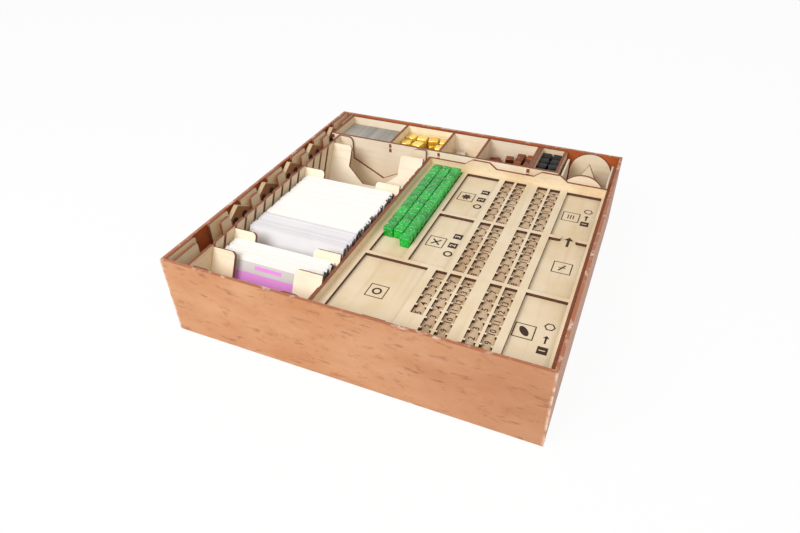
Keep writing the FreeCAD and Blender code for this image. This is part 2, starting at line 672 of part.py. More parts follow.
def recess_loops():
    """The plain recesses of a board, measured from the corner of its land."""
    loops = [rectangle("coin_margin", row_ends[0][0], "coin_end", row_ends[0][1])]
    loops.append(rectangle("col_margin", row_ends[1][0], "col_margin + green_wide", row_ends[2][1]))
    for low, high in row_ends[1:]:
        loops.append(rectangle("icon_x", low, "icon_x + icon_wide", high))
    loops.append(rectangle("side_x", row_ends[0][0], "side_end", row_ends[0][1]))
    joined = [("side_x", row_ends[1][0]), ("side_end", row_ends[1][0]), ("side_end", row_ends[1][1])]
    joined += [(door_right, row_ends[1][1]), (door_right, row_ends[2][0]), ("side_end", row_ends[2][0])]
    joined += [("side_end", row_ends[2][1]), ("side_x", row_ends[2][1]), ("side_x", row_ends[2][0])]
    joined += [(door_left, row_ends[2][0]), (door_left, row_ends[1][1]), ("side_x", row_ends[1][1])]
    loops.append(joined)
    return loops


def track_columns():
    """Left edge and row of every full track column; the short column is cut on its own."""
    columns = []
    for row in range(3):
        starts = ["track_x", "track_x + column_step", "second_x", "second_x + column_step"]
        columns += [(start, row) for start in starts]
    return columns


def column_loops(columns, wide, length):
    inset = "(cell_wide - %s) / 2" % wide
    loops = []
    for start, row in columns:
        left = "%s + %s" % (start, inset)
        right = "%s + %s" % (left, wide)
        loops.append(rectangle(left, row_y(row), right, "%s + %s" % (row_y(row), length)))
    return loops


short_column = [("track_x - column_step", 0)]
short_length = "%d * cell_step" % SHORT_TRACK_CELLS
for number in range(1, BOARDS + 1):
    board = "board_%d" % number
    foot_z = "base_z + %d * board_rise" % (number - 1)
    sheet_z = foot_z + " + board_foot"
    base_at = ("board_x + ply", "tray_y + ply", sheet_z)
    node(block(board + "_plate", ("land_width", "land_depth", "ply"), base_at), board + "_base")

    outline = rectangle("0", "0", "land_width", "land_depth")
    cut_at = ("board_x + ply", "tray_y + ply", sheet_z + " + ply")
    cut_sheet = panel(board + "_cut_sheet", "XY_Plane", outline, "ply", cut_at)
    cut(cut_sheet, board + "_recesses", "XY_Plane", recess_loops())
    soften(cut_sheet, board + "_door_lips", "XY_Plane", door_lips, "door_round")
    if number == BOARDS:
        cell = "cell_step - cell_tooth"
        necks = column_loops(track_columns(), "cell_neck", "row_length")
        necks += column_loops(short_column, "cell_neck", short_length)
        cut(cut_sheet, board + "_necks", "XY_Plane", necks)
        cells = column_loops(track_columns(), "cell_wide", cell)
        cut(cut_sheet, board + "_cells", "XY_Plane", cells, TRACK_CELLS, "cell_step", "V_Axis")
        cells = column_loops(short_column, "cell_wide", cell)
        cut(cut_sheet, board + "_short_cells", "XY_Plane", cells, SHORT_TRACK_CELLS, "cell_step", "V_Axis")
    else:
        slots = column_loops(track_columns(), "cell_wide", "row_length")
        slots += column_loops(short_column, "cell_wide", short_length)
        cut(cut_sheet, board + "_slots", "XY_Plane", slots)
    node(cut_sheet, board + "_sheet")

    rims = []
    for name, rim_x in (("left", "board_x"), ("right", "board_x + board_width - ply")):
        rim_size = ("ply", "front_depth", "board_rise")
        rims.append(block("%s_%s_rim" % (board, name), rim_size, (rim_x, "tray_y", foot_z)))
    for name, rim_y in (("front", "tray_y"), ("back", "tray_y + front_depth - ply")):
        rim_at = ("board_x + ply", rim_y, foot_z)
        rims.append(panel("%s_%s_rim" % (board, name), "XZ_Plane", rim_outline(), "ply", rim_at))
    group(board + "_rims", rims)

# Green cubes: three loose columns in the long recess of the top board, and one more in front of the last
green_room = "2 * row_length + row_gap - green_start - cube_side"
green_rows = min(13, int(value("(%s) / cube_step" % green_room)) - 1)
green_spots = [(column, line) for line in range(green_rows) for column in range(3)]
green_spots.append((2, green_rows))
green_cubes = []
for column, line in green_spots:
    green_x = "board_x + ply + col_margin + cube_side + cube / 2 + %d * cube_step" % column
    green_y = "tray_y + ply + %s + row_length - green_start - cube / 2 - %d * cube_step" % (row_y(2), line)
    turn = (2.5, -1.5, 3, -3, 0.5, 1.5, -2.5)[(column * 3 + line * 2) % 7]
    name = "green_%d_%d" % (column, line)
    green_cubes.append(turned_cube(name, "cube", (green_x, green_y), "board_5_z + board_foot + ply", turn))
group("green_cubes", green_cubes)

doc.recompute()
for item in doc.Objects:
    if "Invalid" in item.State or "Error" in item.State:
        raise RuntimeError("%s is %s" % (item.Label, item.State))
os.makedirs("parts", exist_ok=True)
for item in nodes:
    if item.Shape.isNull() or not item.Shape.isValid():
        raise RuntimeError(item.Label + " has no valid shape")
    item.Shape.exportStep("parts/%s.step" % item.Label)
print(len(nodes), "nodes")
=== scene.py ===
# %% [markdown]
# This lesson dresses a board game box: the base of a chipboard box, open at the top, with a laser-cut
# plywood organiser inside it. The solids come from CAD as a fixed frame, and the pieces drawn here take
# their places from it.

# %% Load the frame
import math
import random

import bmesh
import bpy
from mathutils import Matrix, Vector


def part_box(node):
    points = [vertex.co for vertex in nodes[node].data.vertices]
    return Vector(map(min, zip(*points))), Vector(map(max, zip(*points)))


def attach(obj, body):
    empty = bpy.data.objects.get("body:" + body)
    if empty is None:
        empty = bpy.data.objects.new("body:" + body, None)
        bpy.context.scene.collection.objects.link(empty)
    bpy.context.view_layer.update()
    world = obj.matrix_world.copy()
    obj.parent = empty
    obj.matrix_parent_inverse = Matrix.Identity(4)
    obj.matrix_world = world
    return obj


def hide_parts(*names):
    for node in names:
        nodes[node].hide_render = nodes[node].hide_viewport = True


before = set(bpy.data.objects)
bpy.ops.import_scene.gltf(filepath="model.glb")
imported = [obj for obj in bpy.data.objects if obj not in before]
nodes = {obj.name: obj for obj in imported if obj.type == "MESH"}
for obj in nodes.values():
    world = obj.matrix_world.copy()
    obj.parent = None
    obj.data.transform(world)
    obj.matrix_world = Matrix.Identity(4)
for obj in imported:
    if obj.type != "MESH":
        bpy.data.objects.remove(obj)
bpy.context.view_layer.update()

MM = 0.001
WELD = 0.01 * MM
BOARDS = range(1, 6)
TILE_STACKS = range(1, 6)
rng = random.Random(7)
print("frame of", len(nodes), "nodes")

# %% [markdown]
# Every finish below is a small tree of shader nodes. Writing each node by hand takes many lines, so a few
# helpers make one node, feed its sockets and hand back the result. Colours are written as web codes,
# which are easy to read, and turned into the linear numbers that the renderer works in.

# %% Helpers for colours and shader nodes


def linear(part):
    """One channel of a screen colour as the linear value that the renderer works in."""
    return part / 12.92 if part <= 0.04045 else ((part + 0.055) / 1.055) ** 2.4


def tint(code):
    """A web colour code as linear red, green, blue and alpha."""
    return [linear(int(code[start:start + 2], 16) / 255) for start in (1, 3, 5)] + [1.0]


def feed(tree, socket, source):
    """Give a socket a plain value, or link it to another node's output."""
    if isinstance(source, bpy.types.NodeSocket):
        tree.links.new(source, socket)
    else:
        socket.default_value = source


def add_node(tree, kind, settings, inputs):
    """Make a shader node with its settings, and feed its inputs."""
    made = tree.nodes.new(kind)
    for name, setting in settings.items():
        setattr(made, name, setting)
    for name, source in inputs.items():
        feed(tree, made.inputs[name], source)
    return made


def start_finish(name, roughness):
    """A new material, with its tree of nodes and its main shader."""
    material = bpy.data.materials.new(name)
    material.use_nodes = True
    shader = material.node_tree.nodes["Principled BSDF"]
    shader.inputs["Roughness"].default_value = roughness
    return material, material.node_tree, shader


print("node helpers ready")

# %% [markdown]
# The next helpers are the words that the finishes are written in: where a point is, a soft random value,
# a sum, a rise from one value to another, one colour over another, and a relief that is only shaded.

# %% Helpers for patterns


def place_of(tree):
    """Where a point is on the object at rest, in metres."""
    return add_node(tree, "ShaderNodeTexCoord", {}, {}).outputs["Object"]


def noise(tree, stretch, detail=4.0, roughness=0.55):
    """Soft random values; stretch is the number of blobs per metre along each axis."""
    scaled = add_node(tree, "ShaderNodeMapping", {}, {"Vector": place_of(tree), "Scale": stretch})
    inputs = {"Vector": scaled.outputs["Vector"], "Scale": 1.0, "Detail": detail, "Roughness": roughness}
    return add_node(tree, "ShaderNodeTexNoise", {}, inputs).outputs["Fac"]


def sums(tree, operation, first, second=0.0, third=0.0):
    """One step of arithmetic on values."""
    made = add_node(tree, "ShaderNodeMath", {"operation": operation}, {})
    for socket, source in zip(made.inputs, (first, second, third)):
        feed(tree, socket, source)
    return made.outputs["Value"]


def ramp(tree, factor, low, high, start=0.0, end=1.0):
    """Rise from one value to another as the factor goes from start to end."""
    inputs = {"Value": factor, "From Min": start, "From Max": end, "To Min": low, "To Max": high}
    return add_node(tree, "ShaderNodeMapRange", {"clamp": True}, inputs).outputs["Result"]


def mix(tree, factor, first, second):
    """Lay the second colour over the first; sockets 6, 7 and 2 are the mix node's own for colours."""
    settings = {"data_type": "RGBA", "blend_type": "MIX"}
    return add_node(tree, "ShaderNodeMix", settings, {"Factor": factor, 6: first, 7: second}).outputs[2]


def per_piece(tree):
    """A random value that is the same all over one loose piece of a mesh."""
    return add_node(tree, "ShaderNodeNewGeometry", {}, {}).outputs["Random Per Island"]


def bump(tree, shader, height, distance, strength=1.0):
    """Roughen a surface by a height that is only shaded; distance is its real depth in metres."""
    inputs = {"Height": height, "Distance": distance, "Strength": strength}
    made = add_node(tree, "ShaderNodeBump", {}, inputs)
    tree.links.new(made.outputs["Normal"], shader.inputs["Normal"])


print("pattern helpers ready")

# %% [markdown]
# Laser-cut birch plywood has two looks. The faces are cream with a faint long grain, and every edge that
# the laser cut is burnt to a dark red-brown. One material can hold both: the direction in which a face
# looks tells whether it is a sheet's face or its cut edge, so each sheet only needs its own flat
# direction. The sheets that stand across the trays and face the front get paler tones than the boards:
# painted light from the front.

# %% Plywood finish
FACE_PALE = tint("#F1DEBF")
FACE_DEEP = tint("#E6CDA5")
# Painted light: paler tones for the sheets that face the front, where the front light falls on them.
FRONT_LIT_PALE = tint("#FBEDD6")
FRONT_LIT_DEEP = tint("#F2DFC1")
GRAIN_LINE = tint("#D3B386")
EDGE_BURNT = tint("#6E3D24")
EDGE_WARM = tint("#94573A")
# The edges of flat sheets, mostly the walls of pockets, are burnt and darker still: real burn with
# painted shade.
POCKET_BURN_AND_SHADE = tint("#452617")
POCKET_WARM_BURN_AND_SHADE = tint("#633A25")
LEAN = math.radians(27)
FLAT = {"x": (1, 0, 0), "y": (0, 1, 0), "z": (0, 0, 1), "lean": (0, math.cos(LEAN), -math.sin(LEAN))}
GRAIN = {"x": (300, 9, 190), "y": (9, 300, 190), "z": (190, 9, 300), "lean": (9, 300, 190)}
UPRIGHT_GRAIN = (150, 150, 300)
FACE_TURN = 0.6
TOP_TURN = 0.3


def facing(tree, direction):
    """How squarely a surface faces a direction, from 0 to 1, whichever side it shows."""
    normal = add_node(tree, "ShaderNodeTexCoord", {}, {}).outputs["Normal"]
    settings = {"operation": "DOT_PRODUCT"}
    made = add_node(tree, "ShaderNodeVectorMath", settings, {0: normal, 1: direction})
    return sums(tree, "ABSOLUTE", made.outputs["Value"])


def plywood(name, sheet):
    """Plywood whose sheets lie flat to one direction; upright walls run both ways, burnt on top."""
    material, tree, shader = start_finish(name, 0.62)
    if sheet == "upright":
        edge = sums(tree, "GREATER_THAN", facing(tree, FLAT["z"]), TOP_TURN)
        grain = noise(tree, UPRIGHT_GRAIN, 5)
    else:
        edge = sums(tree, "LESS_THAN", facing(tree, FLAT[sheet]), FACE_TURN)
        grain = noise(tree, GRAIN[sheet], 5)
    cloud = noise(tree, (28, 28, 28), 3)
    # Sheets that face the front take the paler tones: painted light.
    veneer_and_front_light = (FRONT_LIT_PALE, FRONT_LIT_DEEP) if sheet in ("y", "lean") else (FACE_PALE, FACE_DEEP)
    face = mix(tree, ramp(tree, cloud, 0, 1, 0.35, 0.68), *veneer_and_front_light)
    face = mix(tree, ramp(tree, grain, 0, 0.4, 0.52, 0.74), face, GRAIN_LINE)
    char = noise(tree, (900, 900, 900), 3)
    # Flat sheets take the darker pocket tones: burn with painted shade in the recesses.
    burn = (POCKET_BURN_AND_SHADE, POCKET_WARM_BURN_AND_SHADE) if sheet == "z" else (EDGE_BURNT, EDGE_WARM)
    burnt = mix(tree, ramp(tree, char, 0, 1, 0.36, 0.66), *burn)
    tree.links.new(mix(tree, edge, face, burnt), shader.inputs["Base Color"])
    tree.links.new(ramp(tree, grain, 0.55, 0.72), shader.inputs["Roughness"])
    bump(tree, shader, grain, 0.12 * MM, 0.5)
    return material


print("plywood sheets lie flat to", len(FLAT), "directions")

# %% [markdown]
# Now each plywood node is listed under the direction that its sheet is flat to, and takes the finish that
# was made for it. The boards are alike, so a loop adds their nodes to the lists.

# %% Plywood on the trays and boards


def dress(material, *names):
    """Give CAD pieces a finish in place of the plain one that they came with."""
    for name in names:
        for slot in nodes[name].material_slots:
            slot.material = material


SHEETS = {
    "x": ["card_tray_left_wall", "card_tray_right_wall", "rack_back_comb", "rack_cradle",
          "rack_front_comb", "resource_tray_cross_walls", "corner_side_walls", "corner_fin"],
    "y": ["card_tray_front_wall", "card_tray_back_wall", "resource_tray_front_wall",
          "resource_tray_back_wall", "corner_end_walls", "corner_gable"],
    "z": ["card_tray_floor", "rack_base", "resource_tray_floor", "resource_tray_shelf",
          "cube_box_floor", "corner_floor"],
    "lean": ["card_divider_1", "card_divider_2", "card_divider_3", "card_divider_4"],
    "upright": ["cube_box_walls"],
}
for number in BOARDS:
    SHEETS["z"] += ["board_%d_base" % number, "board_%d_sheet" % number]
    SHEETS["upright"].append("board_%d_rims" % number)
for sheet, names in SHEETS.items():
    dress(plywood("plywood_" + sheet, sheet), *names)
print("plywood on", sum(len(names) for names in SHEETS.values()), "nodes")

# %% [markdown]
# The chipboard box is wrapped in printed paper: a mottled copper print outside, a stronger orange inside,
# and pale scuffs where the rim and the corners have rubbed. It is one sheet of paper, so it is one
# material, and the place of a point tells which print it carries. The middle of each wall is at a known
# distance from the centre, so a plain comparison finds the outside, the inside and the rim.

# %% Printed paper of the box
PRINT_LIGHT = tint("#CE976C")
PRINT_MID = tint("#BE8052")
# Dark print colour, which also serves as painted shade towards the right.
DARK_PRINT_AND_SHADE = tint("#955638")
INSIDE_LIGHT = tint("#C0652F")
INSIDE_DARK = tint("#9C4620")
RIM = tint("#AC6844")
SCUFF = tint("#EDD3BF")
PAPER = 0.25 * MM
GREYBOARD = 2.0 * MM
RIM_DEEP = 0.5 * MM
CORNER_WEAR = (0.2 * MM, 1.1 * MM)
FOOT_WEAR = (0.2 * MM, 1.4 * MM)
wrap_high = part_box("box_wrap")[1]
half_x = wrap_high.x - PAPER - GREYBOARD / 2
half_y = wrap_high.y - PAPER - GREYBOARD / 2


def shaded_rock_print(tree, place_x, broad, fine, pits):
    """The mottled print of the outside, with painted shade that darkens it towards the right."""
    rock = mix(tree, ramp(tree, broad, 0, 1, 0.34, 0.66), PRINT_MID, PRINT_LIGHT)
    rock = mix(tree, ramp(tree, fine, 0, 0.55, 0.56, 0.74), rock, DARK_PRINT_AND_SHADE)
    rock = mix(tree, ramp(tree, pits, 0, 0.6, 0.62, 0.72), rock, DARK_PRINT_AND_SHADE)
    # Painted shade: a broad darkening towards the right side of the box.
    return mix(tree, ramp(tree, place_x, 0, 0.3, -0.2 * half_x, half_x), rock, DARK_PRINT_AND_SHADE)


def rubbed_places(tree, rim, foot, corners):
    """Where the paper has rubbed through to its pale core: the rim, the foot and the corners."""
    rubbed = noise(tree, (120, 120, 120), 6, 0.7)
    edges = sums(tree, "MAXIMUM", rim, foot)
    edges = sums(tree, "MULTIPLY", edges, ramp(tree, rubbed, 0, 0.8, 0.54, 0.66))
    corners = sums(tree, "MULTIPLY", corners, ramp(tree, rubbed, 0, 0.9, 0.4, 0.56))
    return sums(tree, "MAXIMUM", edges, corners)


def printed_paper():
    """The wrap: rock print outside, orange inside, a darker rim and pale scuffs."""
    material, tree, shader = start_finish("printed_paper", 0.48)
    place = add_node(tree, "ShaderNodeSeparateXYZ", {}, {"Vector": place_of(tree)}).outputs
    across = sums(tree, "DIVIDE", sums(tree, "ABSOLUTE", place["X"]), half_x)
    along = sums(tree, "DIVIDE", sums(tree, "ABSOLUTE", place["Y"]), half_y)
    outside = sums(tree, "GREATER_THAN", sums(tree, "MAXIMUM", across, along), 1.0)
    broad = noise(tree, (16, 16, 34), 6, 0.6)
    fine = noise(tree, (95, 95, 150), 5, 0.65)
    pits = noise(tree, (70, 70, 260), 4, 0.5)
    rock = shaded_rock_print(tree, place["X"], broad, fine, pits)
    lining = mix(tree, ramp(tree, broad, 0, 1, 0.38, 0.62), INSIDE_DARK, INSIDE_LIGHT)
    rim = ramp(tree, place["Z"], 0, 1, wrap_high.z - RIM_DEEP, wrap_high.z)
    foot = sums(tree, "MULTIPLY", ramp(tree, place["Z"], 1, 0, *FOOT_WEAR), outside)
    wear = [(1 + distance / half_x) ** 2 for distance in CORNER_WEAR]
    corners = ramp(tree, sums(tree, "MULTIPLY", across, along), 0, 1, *wear)
    paper = mix(tree, rim, mix(tree, outside, lining, rock), RIM)
    worn = rubbed_places(tree, rim, foot, corners)
    tree.links.new(mix(tree, worn, paper, SCUFF), shader.inputs["Base Color"])
    tree.links.new(ramp(tree, fine, 0.38, 0.6), shader.inputs["Roughness"])
    dents = sums(tree, "MULTIPLY", ramp(tree, pits, 0, -1, 0.6, 0.7), 2.0)
    bump(tree, shader, sums(tree, "ADD", fine, dents), 0.3 * MM, 0.8)
    return material


dress(printed_paper(), "box_wrap")
print("box papered, walls at", round(half_x / MM, 2), "mm")

# %% [markdown]
# The floor paper, the bare board and the thin cheeks of the corner tray are plainer. One function makes
# them all: two shades in a cloudy pattern, and a fine tooth that breaks up the shine.

# %% Plain paper and card


def plain_paper(name, light, dark, roughness):
    """A sheet of one colour with a faint cloudy print and a fine tooth."""
    material, tree, shader = start_finish(name, roughness)
    cloud = ramp(tree, noise(tree, (30, 30, 30), 5), 0, 1, 0.36, 0.64)
    tooth = noise(tree, (1500, 1500, 1500), 2)
    tree.links.new(mix(tree, cloud, light, dark), shader.inputs["Base Color"])
    tree.links.new(ramp(tree, tooth, roughness - 0.06, roughness + 0.06), shader.inputs["Roughness"])
    bump(tree, shader, tooth, 0.03 * MM, 0.5)
    return material


dress(plain_paper("lining_paper", INSIDE_LIGHT, INSIDE_DARK, 0.55), "floor_liner")
dress(plain_paper("greyboard", tint("#A89C8C"), tint("#8F8475"), 0.8), "box_board")
dress(plain_paper("pale_card", tint("#F0E4D0"), tint("#E4D3B8"), 0.7), "corner_cheeks")
print("floor, board and cheeks dressed")

# %% [markdown]
# A deck is a few hundred loose cards, and it reads as cards only by its edges: fine lines along the top
# and ends that don't quite line up. The CAD solid is a row of plain packets, so each deck is drawn again
# as single leaves in one mesh. This cell makes one leaf, which leans with the dividers, and its finish.

# %% One card
CARD_WIDE = 88 * MM
CARD_TALL = 63 * MM
LEAF = 0.36 * MM
LEAF_SOLID = 0.86
UP_SLOPE = Vector((0, math.sin(LEAN), math.cos(LEAN)))
OUT_SLOPE = Vector((0, math.cos(LEAN), -math.sin(LEAN)))
LEAF_FACES = ((0, 2, 3, 1), (4, 5, 7, 6), (0, 1, 5, 4), (1, 3, 7, 5), (3, 2, 6, 7), (2, 0, 4, 6))


def mesh_piece(name, mesh_data, *materials):
    """Turn a bmesh into an object of the scene."""
    data = bpy.data.meshes.new(name)
    mesh_data.to_mesh(data)
    mesh_data.free()
    for material in materials:
        data.materials.append(material)
    piece = bpy.data.objects.new(name, data)
    bpy.context.scene.collection.objects.link(piece)
    return piece


def add_leaf(work, corner, wide, thick, tall, material_index):
    """A thin card that leans with the dividers; corner is its lowest left front corner."""
    right = Vector((wide, 0, 0))
    up = UP_SLOPE * tall
    out = OUT_SLOPE * thick
    corners = [corner + right * a + out * b + up * c for c in (0, 1) for b in (0, 1) for a in (0, 1)]
    made = [work.verts.new(point) for point in corners]
    for face in LEAF_FACES:
        work.faces.new([made[index] for index in face]).material_index = material_index


def card_stock(name, light, dark):
    """Card whose leaves differ a little from each other in shade."""
    material, tree, shader = start_finish(name, 0.5)
    leaf = sums(tree, "MULTIPLY", per_piece(tree), 0.7)
    shade = sums(tree, "MULTIPLY_ADD", noise(tree, (60, 60, 60), 3), 0.35, leaf)
    tree.links.new(mix(tree, shade, light, dark), shader.inputs["Base Color"])
    bump(tree, shader, noise(tree, (1200, 1200, 1200), 2), 0.03 * MM, 0.4)
    return material


print("a card is", round(CARD_WIDE / MM), "by", round(CARD_TALL / MM), "mm")

# %% [markdown]
# Each leaf is pushed a little out of line by a random amount. Every third leaf is a dark sheet of painted
# shade and a little shorter, so that it shows only between the ends as the shadow in the gaps between the
# cards. The front card of the first deck has a plain panel and two bands, which are very thin leaves laid
# in front of it.

# %% Decks of cards
SUNK = 0.9 * MM
GAP_SHADE_ASIDE = (0.8, 2.9)
NEAT_ASIDE = (-0.6, 0.6)
LOOSE_ASIDE = (0.6, 2.4)
NEAT_SHARE = 0.6
SMALL_RISE = 0.12 * MM
LARGE_RISE = 0.3 * MM
PRINT_STEP = 0.06 * MM
PRINT_THICK = 0.05 * MM
STOCK_INDEX, PANEL_INDEX, BAND_INDEX, GAP_SHADE_INDEX = range(4)
PANEL = (1 * MM, CARD_WIDE - 2 * MM, 1 * MM, 59 * MM)
BANDS = [(1 * MM, CARD_WIDE - 2 * MM, 44 * MM, 7.5 * MM), (32 * MM, 24 * MM, 55 * MM, 3 * MM)]


def add_print(work, corner, area, layers, material_index):
    """A printed area of the front card; it is given by its start, width, foot and height."""
    start, wide, foot, tall = area
    place = corner + Vector((start, 0, 0)) + UP_SLOPE * foot - OUT_SLOPE * PRINT_STEP * layers
    add_leaf(work, place, wide, PRINT_THICK, tall, material_index)


def add_cards(work, corner, count, rise):
    """A row of leaves; a pale one stands up to a rise out of line at the top."""
    for index in range(count):
        place = corner + Vector((0, index * LEAF / math.cos(LEAN), 0))
        # Every third leaf is a dark sheet of painted shade, for the shadow in the gaps between card ends.
        if index % 3 == 1:
            slip = Vector((rng.uniform(*GAP_SHADE_ASIDE) * MM, 0, 0))
            add_leaf(work, place + slip, CARD_WIDE, LEAF * LEAF_SOLID, CARD_TALL - SUNK, GAP_SHADE_INDEX)
        else:
            aside = rng.uniform(*NEAT_ASIDE) if rng.random() < NEAT_SHARE else rng.uniform(*LOOSE_ASIDE)
            slip = Vector((aside * MM, 0, 0)) + UP_SLOPE * rng.uniform(0, rise)
            place += slip * min(index, 1)
            add_leaf(work, place, CARD_WIDE, LEAF * LEAF_SOLID, CARD_TALL, STOCK_INDEX)


def draw_deck(name, stock, rise):
    """Draw a deck as single leaves in place of its packets."""
    low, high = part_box(name)
    reach = high.y - low.y - CARD_TALL * math.sin(LEAN) - LEAF
    count = int(reach / (LEAF / math.cos(LEAN)))
    corner = Vector((low.x, low.y, low.z + LEAF * math.sin(LEAN)))
    work = bmesh.new()
    add_cards(work, corner, count, rise)
    if name == "front_deck":
        add_print(work, corner, PANEL, 1, PANEL_INDEX)
        for band in BANDS:
            add_print(work, corner, band, 2, BAND_INDEX)
    deck = mesh_piece(name + "_leaves", work, stock, panel_print, band_print, painted_gap_shade)
    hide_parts(name)
    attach(deck, name)
    print(name, "has", count, "leaves")


panel_print = card_stock("panel_print", tint("#DCD8D6"), tint("#B9B3B1"))
band_print = card_stock("band_print", tint("#F0A2EE"), tint("#E48CE0"))
white_stock = card_stock("white_cards", tint("#FAF8F4"), tint("#E8E4DE"))
grey_stock = card_stock("grey_cards", tint("#F1EEEE"), tint("#CFCACC"))
# Painted shade: the dark stock of the shorter leaves between the cards.
painted_gap_shade = card_stock("painted_gap_shade", tint("#6A625C"), tint("#3A3532"))
draw_deck("white_deck", white_stock, SMALL_RISE)
draw_deck("grey_deck", grey_stock, LARGE_RISE)
draw_deck("front_deck", white_stock, SMALL_RISE)

# %% [markdown]
# The cubes are painted or clear plastic. Cubes of one colour still differ a little, so each finish mixes
# two shades by a value that is random from cube to cube or from place to place.

# %% Finishes of the cubes


def metal_paint(name, light, dark):
    """Plastic with a metallic coat that differs a little from cube to cube."""
    material, tree, shader = start_finish(name, 0.24)
    shader.inputs["Metallic"].default_value = 0.7
    cloud = noise(tree, (160, 160, 160), 4)
    shade = sums(tree, "MULTIPLY_ADD", per_piece(tree), 0.6, ramp(tree, cloud, 0, 0.4, 0.35, 0.65))
    polish = ramp(tree, noise(tree, (420, 420, 420), 3), 0.16, 0.34)
    tree.links.new(mix(tree, shade, light, dark), shader.inputs["Base Color"])
    tree.links.new(polish, shader.inputs["Roughness"])
    bump(tree, shader, cloud, 0.1 * MM, 0.4)
    return material


def clear_plastic():
    """Green see-through plastic with small glints painted into its colour."""
    material, tree, shader = start_finish("green", 0.14)
    shader.inputs["Transmission Weight"].default_value = 0.2
    shader.inputs["IOR"].default_value = 1.49
    green = mix(tree, per_piece(tree), tint("#0CDC40"), tint("#04A42C"))
    cloud = ramp(tree, noise(tree, (300, 300, 300), 3), 0, 0.6, 0.46, 0.66)
    green = mix(tree, cloud, green, tint("#067A26"))
    # Painted highlight: pale green glints mixed into the colour.
    painted_glint = ramp(tree, noise(tree, (520, 520, 520), 2), 0, 0.9, 0.6, 0.68)
    tree.links.new(mix(tree, painted_glint, green, tint("#A6FFB4")), shader.inputs["Base Color"])
    bump(tree, shader, noise(tree, (420, 420, 420), 2), 0.4 * MM, 0.8)
    return material


def black_plastic():
    """Black plastic with a dull, slightly uneven shine."""
    material, tree, shader = start_finish("black", 0.38)
    shader.inputs["Specular IOR Level"].default_value = 0.25
    cloud = noise(tree, (200, 200, 200), 4)
    tree.links.new(mix(tree, cloud, tint("#0A0909"), tint("#1F1D1C")), shader.inputs["Base Color"])
    tree.links.new(ramp(tree, cloud, 0.36, 0.58), shader.inputs["Roughness"])
    bump(tree, shader, noise(tree, (900, 900, 900), 2), 0.04 * MM, 0.4)
    return material


heap_finishes = {
    "gold": metal_paint("gold", tint("#FFEA8C"), tint("#F6CB48")),
    "silver": metal_paint("silver", tint("#E4E4E6"), tint("#B9B9BD")),
    "bronze": metal_paint("bronze", tint("#A04E28"), tint("#3E1C0E")),
    "black": black_plastic(),
    "green": clear_plastic(),
}
print("finishes for", ", ".join(heap_finishes), "cubes")

# %% [markdown]
# Plastic cubes are never quite sharp: their edges are rounded and catch a line of light. A bevelled copy
# of each CAD heap gives that with no new placing. The copy is welded first, because the frame's mesh
# keeps separate corners for each face. Punched chipboard tiles have a slightly soft edge too, where the
# die pressed them, so the grey tiles that stand on edge are made in the same way.

# %% Cubes and grey tiles
CUBE_ROUND = 0.7 * MM
CUBE_STEPS = 2
TILE_ROUND = 0.25 * MM
TILE_STEPS = 1
SAME_PLANE = 0.02
SHARP = 0.3


def rounded_copy(node, radius, steps, material):
    """A copy of a CAD piece with rounded edges, shown in its place."""
    work = bmesh.new()
    work.from_mesh(nodes[node].data)
    bmesh.ops.remove_doubles(work, verts=work.verts, dist=WELD)
    bmesh.ops.dissolve_limit(work, angle_limit=SAME_PLANE, verts=work.verts, edges=work.edges)
    edges = [edge for edge in work.edges if edge.calc_face_angle(0) > SHARP]
    bmesh.ops.bevel(work, geom=edges, offset=radius, segments=steps, profile=0.5, affect="EDGES")
    for face in work.faces:
        face.smooth = True
        face.material_index = 0
    piece = mesh_piece(node + "_rounded", work, material)
    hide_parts(node)
    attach(piece, node)
    print(node, "has", len(piece.data.polygons), "faces")


for colour, material in heap_finishes.items():
    rounded_copy(colour + "_cubes", CUBE_ROUND, CUBE_STEPS, material)
grey_core = card_stock("grey_tile_card", tint("#C9C4BC"), tint("#98938B"))
rounded_copy("grey_tiles", TILE_ROUND, TILE_STEPS, grey_core)

# %% [markdown]
# The hexagon tiles show a brown print with a thin pale frame line, and a pale cut edge. Insetting the
# printed face twice gives the margin, the line and the middle as faces of their own, and each takes a
# material by its index. Two dark discs make a plain motif.

# %% Hexagon tiles
TILE_THICK = 2.0 * MM
TILE_GAP = 0.05 * MM
TILE_MARGIN = 2.2 * MM
TILE_LINE = 0.8 * MM
TILE_SIDES = 6
SPOT_RADIUS = 3.7 * MM
SPOT_CORNERS = 20
SPOT_SINK = 0.04 * MM
SPOT_ASIDE = 0.34
SPOT_UP = 0.36
PRINT_INDEX, LINE_INDEX, CUT_INDEX, SPOT_INDEX = range(4)
tile_print = plain_paper("tile_print", tint("#BC8460"), tint("#966241"), 0.45)
tile_line = plain_paper("tile_line", tint("#E3BC93"), tint("#D0A578"), 0.5)
tile_edge = plain_paper("tile_edge", tint("#D8C3A0"), tint("#BFA680"), 0.75)
tile_spot = plain_paper("tile_spot", tint("#2A1A12"), tint("#3B2518"), 0.5)


def tile_ring(work, centre, radius):
    """The corners of one face of a tile that stands on its point."""
    ring = []
    for corner in range(TILE_SIDES):
        angle = math.radians(90 + 360 / TILE_SIDES * corner)
        offset = Vector((0, radius * math.cos(angle), radius * math.sin(angle)))
        ring.append(work.verts.new(centre + offset))
    return ring


